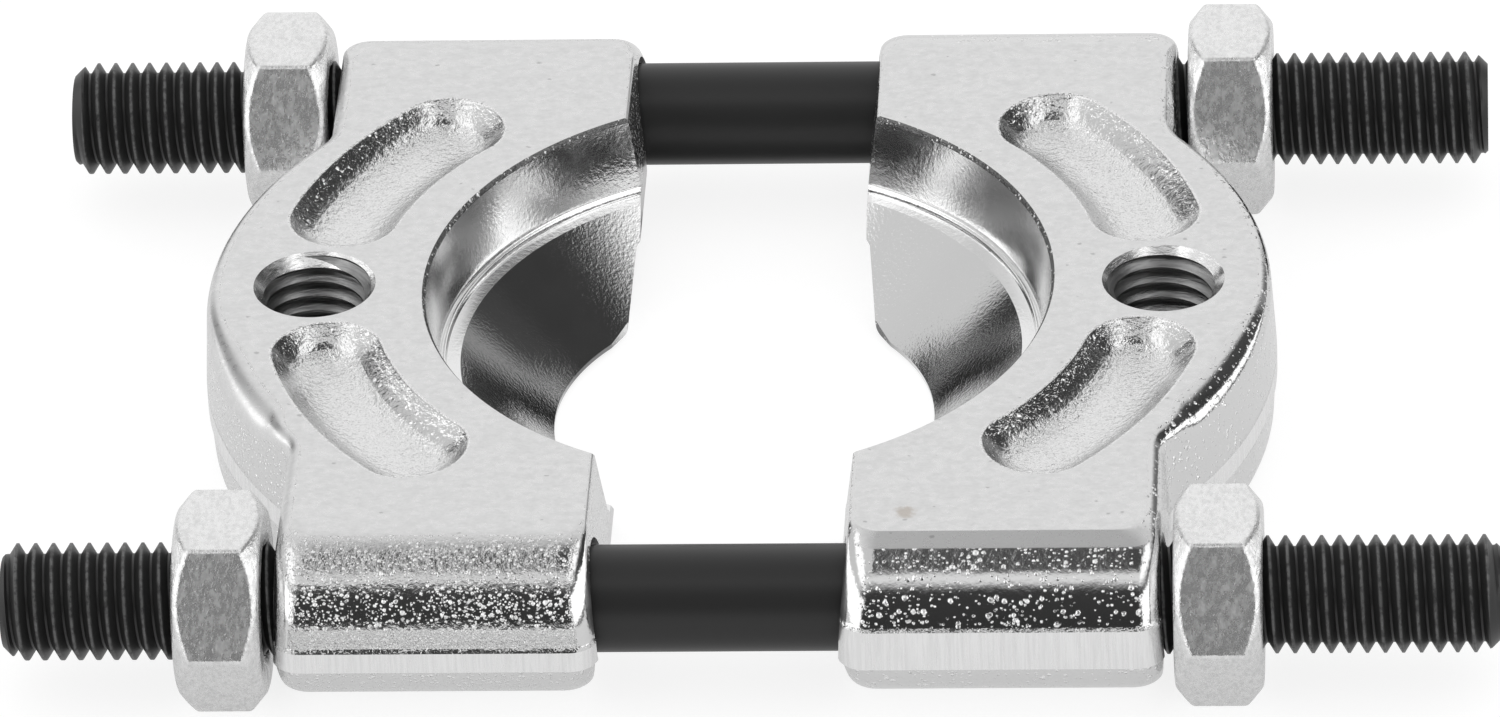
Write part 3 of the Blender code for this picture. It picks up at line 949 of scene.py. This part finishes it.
# %% Outline of the forging
CORNER_STEPS = 8
BODY_STEPS = 48
UPPER_RINGS = 29
FLASH_STEP = 0.22
STEP_ANGLE = 2.0
WIDE_EDGE_RADIUS = 2.7
WIDE_EDGE_START = 2.0
WIDE_EDGE_RISE = 18.0
WIDE_EDGE_FALL = 6.0
FLASH_STEP_HEIGHT = BOSS_RADIUS * sin(radians(STEP_ANGLE))
FLAT_EAR_ANGLE = 72.0
FLAT_EAR_BAND = 1.7
FLAT_EAR_START = 20.0
FACET_ANGLE = 17.0
FACET_DROP = 0.56


def round_reach(height):
    """How far the full-round ear stands out from its hole's axis at this height."""
    above = height - BOSS_RADIUS
    if -FLASH_BAND <= above <= 0:
        return BOSS_RADIUS
    step = FLASH_STEP * min(above / FLASH_STEP_HEIGHT, 1.0) if above > 0 else 0.0
    return sqrt(max(BOSS_RADIUS**2 - above**2, 0.0)) - step


def flat_reach(height):
    """The ear that was ground flatter: a taller band, a wider arc and a sloping facet."""
    lean = radians(FLAT_EAR_ANGLE)
    start = cos(radians(FLAT_EAR_START))
    wide = (BOSS_RADIUS - FLAT_EAR_BAND - FACET_DROP) / (start - cos(lean))
    above = height - BOSS_RADIUS - FLAT_EAR_BAND
    if above <= 0:
        return round_reach(min(height, BOSS_RADIUS))
    below = JAW_THICKNESS - height
    cosine = start - max(below - FACET_DROP, 0.0) / wide
    facet = max(FACET_DROP - below, 0.0) / tan(radians(FACET_ANGLE))
    step = FLASH_STEP * min(above / FLASH_STEP_HEIGHT, 1.0)
    return BOSS_RADIUS - step - wide * (sin(lean) - sqrt(1 - cosine**2)) - facet


def level_list():
    """Heights from the underside to the top, close together where the ears turn."""
    angles = [-90 + 4 * step for step in range(19)]
    above = (90 - STEP_ANGLE) / UPPER_RINGS
    angles += [STEP_ANGLE + above * step for step in range(UPPER_RINGS + 1)]
    heights = [BOSS_RADIUS * (1 + sin(radians(angle))) for angle in angles]
    heights += [BOSS_RADIUS - FLASH_BAND, BOSS_RADIUS - 0.12]
    flat_band_top = BOSS_RADIUS + FLAT_EAR_BAND
    heights += [flat_band_top, flat_band_top + FLASH_STEP_HEIGHT, JAW_THICKNESS - FACET_DROP]
    return sorted(heights)


def rolled_back(radius, past):
    """How far a rolled edge has fallen back at a place past its start."""
    return radius - sqrt(max(radius**2 - past**2, 0.0)) if past > 0 else 0.0


def set_back(height, draft, top_radius, bottom_radius):
    """How far a side stands back from the flash band at this height."""
    middle = JAW_THICKNESS / 2
    in_band = middle - FLASH_BAND - 0.001 < height < middle
    inset = 0.0 if in_band else draft * abs(height - middle) / middle
    inset += rolled_back(top_radius, height - (JAW_THICKNESS - top_radius))
    return inset + rolled_back(bottom_radius, bottom_radius - height)


def arc(centre_x, centre_y, radius, first, last):
    """Points of an arc between two angles in degrees."""
    points = []
    for step in range(CORNER_STEPS + 1):
        angle = radians(first + (last - first) * step / CORNER_STEPS)
        points.append(polar(radius, angle, centre_x, centre_y))
    return points


def smooth(value):
    """0 to 1 with soft ends."""
    value = min(max(value, 0.0), 1.0)
    return value * value * (3 - 2 * value)


def edge_radius(along, lean):
    """The body's top edge is rolled wider over the half that faces front."""
    share = smooth((along - WIDE_EDGE_START) / WIDE_EDGE_RISE)
    share *= smooth((lean - along) / WIDE_EDGE_FALL)
    return TOP_EDGE_RADIUS + (WIDE_EDGE_RADIUS - TOP_EDGE_RADIUS) * share


def forging_outline(height, front_side):
    """The outline at one height, anticlockwise from the inner front corner."""
    front = STUD_Y + flat_reach(height)
    reach = STUD_Y + round_reach(height)
    near = MATING_X + set_back(height, MATING_DRAFT, MATING_EDGE_RADIUS, MATING_EDGE_RADIUS)
    side = set_back(height, SIDE_DRAFT, TOP_EDGE_RADIUS, BOTTOM_EDGE_RADIUS)
    far = MATING_X + EAR_LENGTH - side
    radius = BODY_RADIUS - side
    middle = MATING_X - BODY_SET_BACK
    corner = EAR_CORNER_RADIUS
    waist = WAIST_FILLET + side
    waist_x = far + waist
    waist_y = sqrt((radius + waist) ** 2 - (waist_x - middle) ** 2)
    lean = degrees(atan2(waist_y, waist_x - middle))
    outline = arc(near + corner, -front + corner, corner, 180, 270)
    outline += arc(far - corner, -front + corner, corner, 270, 360)
    outline += arc(waist_x, -waist_y, waist, 180, 180 - lean)
    for step in range(1, 2 * BODY_STEPS):
        angle = lean * (step / BODY_STEPS - 1)
        edge = edge_radius(angle * front_side, lean)
        own = BODY_RADIUS - set_back(height, SIDE_DRAFT, edge, BOTTOM_EDGE_RADIUS)
        outline.append(polar(own, radians(angle), middle))
    outline += arc(waist_x, waist_y, waist, 180 + lean, 180)
    outline += arc(far - corner, reach - corner, corner, 0, 90)
    outline += arc(near + corner, reach - corner, corner, 90, 180)
    return outline


print("the forging has", len(level_list()), "rings")


# %% The seat and its knife edge
BORE_SET_BACK = 13.0
BORE_RADIUS = 29.7
BORE_WALL_TAPER = 0.7
BORE_EDGE_CHAMFER = 0.5
BORE_DEPTH = 6.5
LEDGE_WIDTH = 1.9
LEDGE_DROP = 0.7
KNIFE_RADIUS = 19.5
KNIFE_LAND = 0.4
MOUTH_BREAK = 0.4
RELIEF_ALONG_FACE = 1.0
RELIEF_ALONG_KNIFE = 2.4
SEAT_X = MATING_X - BORE_SET_BACK
SEAT_SEGMENTS = 200


def seat_cutters():
    """The turned wall with its ledge, and below it the cone."""
    top = JAW_THICKNESS
    ledge = top - BORE_DEPTH
    wall = BORE_RADIUS - BORE_WALL_TAPER
    inner = wall - LEDGE_WIDTH
    mouth = BORE_RADIUS + BORE_EDGE_CHAMFER
    slope = (ledge - LEDGE_DROP - KNIFE_LAND) / (inner - KNIFE_RADIUS)
    cone = [
        (KNIFE_RADIUS, -1.0),
        (KNIFE_RADIUS, KNIFE_LAND),
        (inner, ledge - LEDGE_DROP),
        (inner + 0.4, ledge - LEDGE_DROP + 0.4 * slope),
    ]
    cone.append((1.0, cone[-1][1]))
    steps = [
        (-0.30, 0.60), (1.24, 0.50), (1.31, 0.46), (1.36, 0.14), (1.42, 0.04),
        (1.52, 0.02), (1.60, 0.07), (1.68, 0.22), (1.80, 0.24), (1.88, 0.12), (1.90, -0.20),
    ]
    seat = [(1.0, ledge - LEDGE_DROP * 0.5)]
    seat += [(inner + out, ledge - down) for out, down in steps]
    seat += [(mouth - MOUTH_BREAK * 0.7, top - MOUTH_BREAK), (mouth, top), (mouth + 0.6, top + 0.6)]
    centre = (SEAT_X, 0.0, 0.0)
    return [
        turned("cone", cone, SEAT_SEGMENTS, turned_cone["jaw_right"], place=centre),
        turned("seat", seat, SEAT_SEGMENTS, turned_wall["jaw_right"], place=centre),
    ]


def relief_cutter(side):
    """Takes the sharp corner off the knife edge beside the mating face."""
    knife_y = sqrt(KNIFE_RADIUS**2 - BORE_SET_BACK**2)
    inside = MATING_X - 1.5
    base = knife_y - RELIEF_ALONG_KNIFE
    top = knife_y + RELIEF_ALONG_FACE
    on_knife = SEAT_X + sqrt(KNIFE_RADIUS**2 - base**2)
    outline = [
        (inside, base), (on_knife, base), (MATING_X + 1.0, knife_y), (MATING_X, top), (inside, top),
    ]
    rings = [[(x, y * side, z) for x, y in outline] for z in (-1.0, JAW_THICKNESS / 3)]
    return solid("relief", rings, cast_skin["jaw_right"])


print("seat radius", BORE_RADIUS, "mm, knife radius", KNIFE_RADIUS, "mm")


# %% Holes and pockets
STUD_HOLE_CHAMFER = 0.4
TAPPED_HOLE_FROM_MATING = 26.5
TAPPED_CORE_RADIUS = 4.25
TAPPED_MAJOR_RADIUS = 5.0
TAPPED_MOUTH_RADIUS = 5.25
SINK_UNDER = 0.4
SINK_OVER = 0.8
POCKET_MIDDLE = MATING_X - 8.0
POCKET_RADII = (34.4, 35.2)
POCKET_ANGLES = (18.0, 46.2)
POCKET_WIDTHS = (9.3, 9.6)
POCKET_SQUASHES = (0.95, 0.9)
POCKET_WALL_ANGLE = 43.0
POCKET_WALL_HEIGHT = 0.7
POCKET_FLOOR_WIDTH = 1.2
POCKET_LIP = 0.5
CAP_STEPS = 20
SLOT_STEPS = 32
LIP_STEPS = 6
TROUGH_STEPS = 15
WALL_FINISH_ABOVE = 30.0


def stud_hole_cutter(side):
    """The hole through one ear."""
    far = MATING_X + EAR_LENGTH
    profile = bore_profile(STUD_HOLE_RADIUS, STUD_HOLE_CHAMFER, MATING_X, far)
    return turned("stud_hole", profile, 64, ground_face, "X", (0.0, side * STUD_Y, BOSS_RADIUS))


def tap_cutters():
    """The thread of the tapped hole, and the countersinks at its two mouths."""
    over = 1.0
    length = (JAW_THICKNESS + 2 * over) * MM
    centre_x = MATING_X + TAPPED_HOLE_FROM_MATING
    mesh = grow("tap", {
        "Length": length,
        "Thread Length": length,
        "Pitch": PITCH * MM,
        "Crest Radius": TAPPED_MAJOR_RADIUS * MM,
        "Root Radius": TAPPED_CORE_RADIUS * MM,
        "Shank Radius": TAPPED_MAJOR_RADIUS * MM,
        "End Chamfer": 0.1 * MM,
        "Segments": 64,
        "Finish": cut_thread,
    })
    mesh.transform(Matrix.Rotation(-pi / 2, 4, "Y"))
    mesh.transform(Matrix.Translation((centre_x * MM, 0.0, -over * MM)))
    clean(mesh, 32)
    tools = [show("tap", mesh)]
    sink = TAPPED_MOUTH_RADIUS - TAPPED_CORE_RADIUS
    for face, outward in ((0.0, -1), (JAW_THICKNESS, 1)):
        profile = sorted([
            (TAPPED_CORE_RADIUS - SINK_UNDER, face - outward * (sink + SINK_UNDER)),
            (TAPPED_MOUTH_RADIUS + SINK_OVER, face + outward * SINK_OVER),
        ], key=lambda pair: pair[1])
        tools.append(turned("sink", profile, 90, turned_sink, place=(centre_x, 0.0, 0.0)))
    return tools


def pocket_cap(along, radius, width, squash, inset, turn):
    """The rounded end of a pocket."""
    cap = []
    for step in range(1, CAP_STEPS):
        around = pi * step / CAP_STEPS
        reach = radius + (width / 2 - inset) * cos(around) * turn
        onward = (width / 2 * squash - inset) * sin(around) * turn
        x = POCKET_MIDDLE + reach * cos(along) - onward * sin(along)
        cap.append((x, reach * sin(along) + onward * cos(along)))
    return cap


def part_way(pair, share):
    """The value a share of the way from the first to the second."""
    return pair[0] + (pair[1] - pair[0]) * share


def pocket_outline(inset):
    """A slot along an arc, shrunk all round by inset."""
    angles = [radians(angle) for angle in POCKET_ANGLES]
    outer = []
    inner = []
    for step in range(SLOT_STEPS + 1):
        share = step / SLOT_STEPS
        angle = part_way(angles, share)
        half = part_way(POCKET_WIDTHS, share) / 2 - inset
        along = part_way(POCKET_RADII, share)
        for points, radius in ((outer, along + half), (inner, along - half)):
            points.append(polar(radius, angle, POCKET_MIDDLE))
    start, end = zip(angles, POCKET_RADII, POCKET_WIDTHS, POCKET_SQUASHES)
    inner.reverse()
    return outer + pocket_cap(*end, inset, 1) + inner + pocket_cap(*start, inset, -1)


def pocket_section():
    """(depth, inset) pairs: above the face, the broken rim, the leaning wall, the trough."""
    lean = radians(POCKET_WALL_ANGLE)
    section = [(-0.5, -1.6), (-0.02, -POCKET_LIP * sin(lean) - 0.15)]
    rim_depth = POCKET_LIP * (1 - cos(lean))
    for step in range(1, LIP_STEPS + 1):
        angle = lean * step / LIP_STEPS
        inset = POCKET_LIP * (sin(angle) - sin(lean))
        section.append((POCKET_LIP * (1 - cos(angle)), inset))
    wall = POCKET_WALL_HEIGHT
    foot = wall / tan(lean)
    section.append((rim_depth + wall, foot))
    reach = (min(POCKET_WIDTHS) - POCKET_FLOOR_WIDTH) / 2 - foot
    sweep = reach / sin(lean)
    for step in range(1, TROUGH_STEPS):
        angle = lean * (1 - step / TROUGH_STEPS)
        depth = sweep * (cos(angle) - cos(lean))
        inset = foot + sweep * (sin(lean) - sin(angle))
        section.append((rim_depth + wall + depth, inset))
    return section


def pocket_cutter(side):
    """A kidney pocket with the section above, swept along its outline."""
    rings = []
    for depth, inset in pocket_section():
        rings.append([(x, y * side, JAW_THICKNESS - depth) for x, y in pocket_outline(inset)])
    pocket = solid("pocket", rings, pocket_floor_painted_light)
    pocket.data.materials.append(pocket_wall)
    # Floors take the lighter grey of painted light, and leaning walls the plain plating.
    for face in pocket.data.polygons:
        lean = degrees(acos(min(abs(face.normal.z), 1.0)))
        face.material_index = int(lean > WALL_FINISH_ABOVE)
    return pocket


print("pockets are", round(pocket_section()[-1][0], 2), "mm deep")


# %% Machine the two forgings
COARSE_HEIGHT = 1.9
FLAT_FROM = 0.995
WORN_LEAN = (0.15, 0.98)
CORNER_LEAN = (0.35, 0.97)
ROLLED_OVER = cos(radians(19))


def paint_blank(blank, front_side):
    """Which tool or die left each face of the forging."""
    mesh = blank.data
    for finish in (ground_face, ground_band, parting_crease, coarse_skin, corner_skin):
        mesh.materials.append(finish)
    for face in mesh.polygons:
        above = face.center.z / MM - BOSS_RADIUS
        y = face.center.y
        outward, _, upward = face.normal
        flat_ear = y < -STUD_Y * MM
        band_top = FLAT_EAR_BAND if flat_ear else 0.0
        rolled_over = flat_ear and upward > ROLLED_OVER
        on_body = abs(y) < STUD_Y * MM
        on_edge = on_body and above > 0.0 and WORN_LEAN[0] < upward < WORN_LEAN[1]
        worn_edge = on_edge and front_side > 0
        flat = abs(upward) > FLAT_FROM or outward < -FLAT_FROM
        on_corner = CORNER_LEAN[0] < abs(outward) < CORNER_LEAN[1] and not on_body
        if flat or rolled_over or worn_edge:
            face.material_index = 1
        elif -FLASH_BAND - 0.05 < above < band_top:
            face.material_index = 2
        elif 0.0 < above - band_top < FLASH_STEP_HEIGHT:
            face.material_index = 3
        elif above > 0.0 and on_corner:
            face.material_index = 5
        elif 0.0 < above < COARSE_HEIGHT and y > STUD_Y * MM:
            face.material_index = 4
        else:
            face.material_index = 0


def paint_mouth(blank):
    """The seat's sharp mouth was broken by hand, so it is ragged; its faces get a near-black grey,
    a painted shade line.
    """
    mesh = blank.data
    mesh.materials.append(mouth_painted_dark)
    for face in mesh.polygons:
        turned_face = mesh.materials[face.material_index] == turned_wall["jaw_right"]
        if turned_face and face.center.z > (JAW_THICKNESS - MOUTH_BREAK) * MM:
            face.material_index = len(mesh.materials) - 1


def machine_jaw(front_side):
    """One jaw as it faces on the right, with every cut made."""
    rings = [
        [(x, y, height) for x, y in forging_outline(height, front_side)]
        for height in level_list()
    ]
    blank = solid("forging", rings, cast_skin["jaw_right"])
    paint_blank(blank, front_side)
    for cutter in seat_cutters():
        cut(blank, cutter)
    paint_mouth(blank)
    for side in (-1, 1):
        cut(blank, relief_cutter(side))
        cut(blank, stud_hole_cutter(side))
        cut(blank, pocket_cutter(side))
    for cutter in tap_cutters():
        cut(blank, cutter)
    return blank


def weigh_normals(piece):
    """Flat faces keep flat normals, and their rounded edges blend into them."""
    modifier = piece.modifiers.new("weigh", "WEIGHTED_NORMAL")
    modifier.keep_sharp = True
    modifier.weight = 100
    settle(piece)


for node, front_side in (("jaw_right", -1), ("jaw_left", 1)):
    jaw = machine_jaw(front_side)
    jaw.name = node + "_forged"
    mesh = jaw.data
    if node == "jaw_left":
        mesh.transform(Matrix.Rotation(pi, 4, "Z"))
    mesh.transform(Matrix.Translation((JAWS_X * MM, 0.0, JAW_LIFT * MM)))
    for slot, finish in enumerate(mesh.materials):
        for family in (cast_skin, turned_wall, turned_cone):
            if finish == family["jaw_right"]:
                mesh.materials[slot] = family[node]
    clean(mesh, 30)
    weigh_normals(jaw)
    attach(jaw, node)
    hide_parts(node)
    print(jaw.name, len(jaw.data.polygons), "faces", [m.name for m in jaw.data.materials])

# %% [markdown]
# ## The nuts
#
# The real nuts are pressed from bar and tapped, and their corners are turned off
# at both ends, which leaves a curved edge on every flat. The same cuts are made
# here: a hexagonal prism is trimmed by a double cone, bored, and its edges are
# broken. Zinc lies over it, satin and a little clouded. One mesh serves all four
# nuts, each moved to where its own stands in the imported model.

# %% One nut four times
NUT_ACROSS_FLATS = 16.25
NUT_THICKNESS = 7.4
NUT_BORE_RADIUS = 5.075
NUT_MOUTH_CHAMFER = 0.5
NUT_CHAMFER_ANGLE = 40.0
NUT_EDGE_RADIUS = 0.32
NUT_FACE_SHARE = 0.94
SHARP_ANGLE = 20


def nut_pattern():
    """A hexagon nut about X: a prism trimmed by a double cone, bored, edges broken."""
    half = NUT_THICKNESS / 2
    corner = NUT_ACROSS_FLATS / 2 / cos(pi / 6)
    outline = [polar(corner, pi * k / 3) for k in range(6)]
    rings = [[(x, y, z) for y, z in outline] for x in (-half - 1.0, half + 1.0)]
    nut = solid("nut", rings, zinc_nut)
    face = NUT_ACROSS_FLATS / 2 * NUT_FACE_SHARE
    outside = corner + 1.0
    drop = (outside - face) * tan(radians(NUT_CHAMFER_ANGLE))
    cones = [(face, -half), (outside, -half + drop), (outside, half - drop), (face, half)]
    cut(nut, turned("cones", cones, 144, zinc_nut, "X"), "INTERSECT")
    hole = bore_profile(NUT_BORE_RADIUS, NUT_MOUTH_CHAMFER, -half, half)
    cut(nut, turned("nut_bore", hole, 96, zinc_nut, "X"))
    clean(nut.data, SHARP_ANGLE)
    bevel = nut.modifiers.new("edges", "BEVEL")
    bevel.width = NUT_EDGE_RADIUS * MM
    bevel.segments = 3
    bevel.limit_method = "ANGLE"
    bevel.angle_limit = radians(SHARP_ANGLE)
    bevel.harden_normals = False
    settle(nut)
    return nut


pattern = nut_pattern()
for node in ("nut_front_left", "nut_front_right", "nut_back_left", "nut_back_right"):
    low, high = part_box(node)
    mesh = pattern.data.copy()
    mesh.transform(Matrix.Translation([(a + b) / 2 for a, b in zip(low, high)]))
    clean(mesh, 35)
    nut = show(node + "_plated", mesh)
    weigh_normals(nut)
    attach(nut, node)
    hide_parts(node)
    print(nut.name, len(nut.data.polygons), "faces")
bpy.data.objects.remove(pattern, do_unlink=True)
